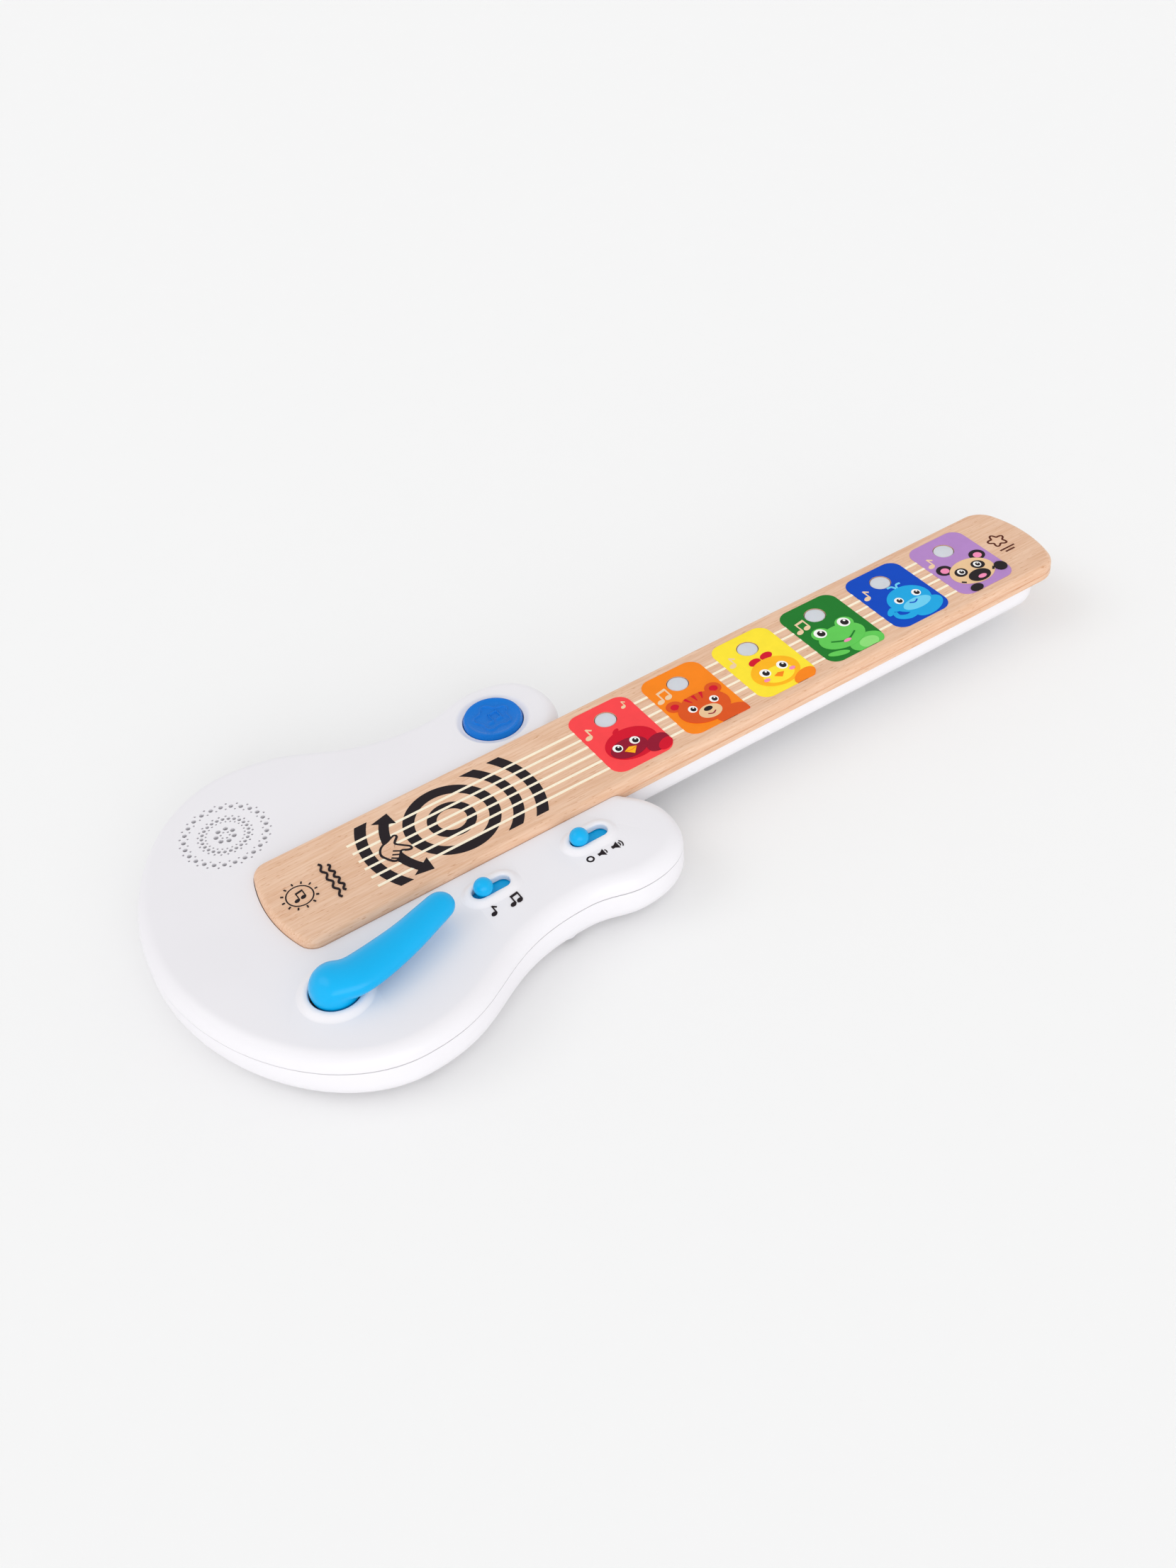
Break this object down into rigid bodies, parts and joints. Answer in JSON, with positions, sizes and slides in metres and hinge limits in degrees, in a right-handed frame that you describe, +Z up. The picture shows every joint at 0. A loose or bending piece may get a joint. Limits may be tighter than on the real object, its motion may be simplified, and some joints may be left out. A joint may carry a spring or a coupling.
{
  "type": "toy electric guitar",
  "caption": "Toddler-size toy guitar: moulded body, wooden touch fingerboard with lit pads, speaker, push button, slide switches and a sprung whammy bar.",
  "frame": {"origin": "on the surface the guitar lies on, under the middle of its length and width", "axes": "+X along the neck to the head, +Y to the speaker side, +Z up out of the fingerboard"},
  "size_m": [0.447, 0.185, 0.043],
  "materials": {
    "white_abs": "glossy moulded ABS",
    "beech": "clear lacquered, printed",
    "frosted_acrylic": "frosted light window",
    "lamp": "LED package",
    "laminate": "solder-masked circuit laminate",
    "button_blue": "glossy moulded ABS",
    "light_blue": "satin moulded ABS",
    "black_resin": "moulded black resin",
    "steel": "zinc plated",
    "cell_sleeve": "printed sleeve on a metal can",
    "rubber": "matt"
  },
  "bodies": {
    "guitar": {"casing_top": "white_abs", "casing_bottom": "white_abs", "neck_cover": "white_abs", "battery_door": "white_abs", "fingerboard": "beech", "light_window_1": "frosted_acrylic", "pad_light_1": "lamp", "light_window_2": "frosted_acrylic", "pad_light_2": "lamp", "light_window_3": "frosted_acrylic", "pad_light_3": "lamp", "light_window_4": "frosted_acrylic", "pad_light_4": "lamp", "light_window_5": "frosted_acrylic", "pad_light_5": "lamp", "light_window_6": "frosted_acrylic", "pad_light_6": "lamp", "touch_circuit": "laminate", "button_circuit": "laminate", "switch_circuit": "laminate", "main_circuit": "laminate", "whammy_sensor": "laminate", "button_switch": "black_resin", "sound_chip": "black_resin", "speaker_cone": "black_resin", "speaker_lead": "black_resin", "touch_ribbon": "frosted_acrylic", "button_spring": "steel", "volume_switch": "steel", "mode_switch": "steel", "whammy_spring": "steel", "speaker_basket": "steel", "speaker_magnet": "steel", "battery_contact_front": "steel", "battery_contact_back": "steel", "battery_door_screw": "steel", "battery_spring_1": "steel", "neck_screw_1": "steel", "battery_cell_1": "cell_sleeve", "battery_spring_2": "steel", "neck_screw_2": "steel", "battery_cell_2": "cell_sleeve", "battery_spring_3": "steel", "neck_screw_3": "steel", "battery_cell_3": "cell_sleeve", "casing_screw_1": "steel", "casing_screw_2": "steel", "casing_screw_3": "steel", "casing_screw_4": "steel", "casing_screw_5": "steel", "foot_1": "rubber", "foot_2": "rubber", "foot_3": "rubber", "foot_4": "rubber"},
    "button": {"button_cap": "button_blue"},
    "volume_slider": {"volume_knob": "light_blue"},
    "mode_slider": {"mode_knob": "light_blue"},
    "whammy": {"whammy_bar": "light_blue", "whammy_washer": "steel", "whammy_screw": "steel"}
  },
  "joints": [
    {"name": "button_press", "type": "slide", "parent": "guitar", "child": "button", "axis": [0, 0, -1], "range_m": [0, 0.002], "stiffness_N_per_m": 500, "deforming": ["button_spring"]},
    {"name": "volume_slide", "type": "slide", "parent": "guitar", "child": "volume_slider", "axis": [1, 0, 0], "range_m": [0, 0.008]},
    {"name": "mode_slide", "type": "slide", "parent": "guitar", "child": "mode_slider", "axis": [1, 0, 0], "range_m": [0, 0.0068]},
    {"name": "whammy_swing", "type": "hinge", "parent": "guitar", "child": "whammy", "pos_m": [-0.1704, -0.051, 0.0286], "axis": [0, 0, 1], "range_deg": [-12, 12], "stiffness_Nm_per_rad": 0.08}
  ]
}
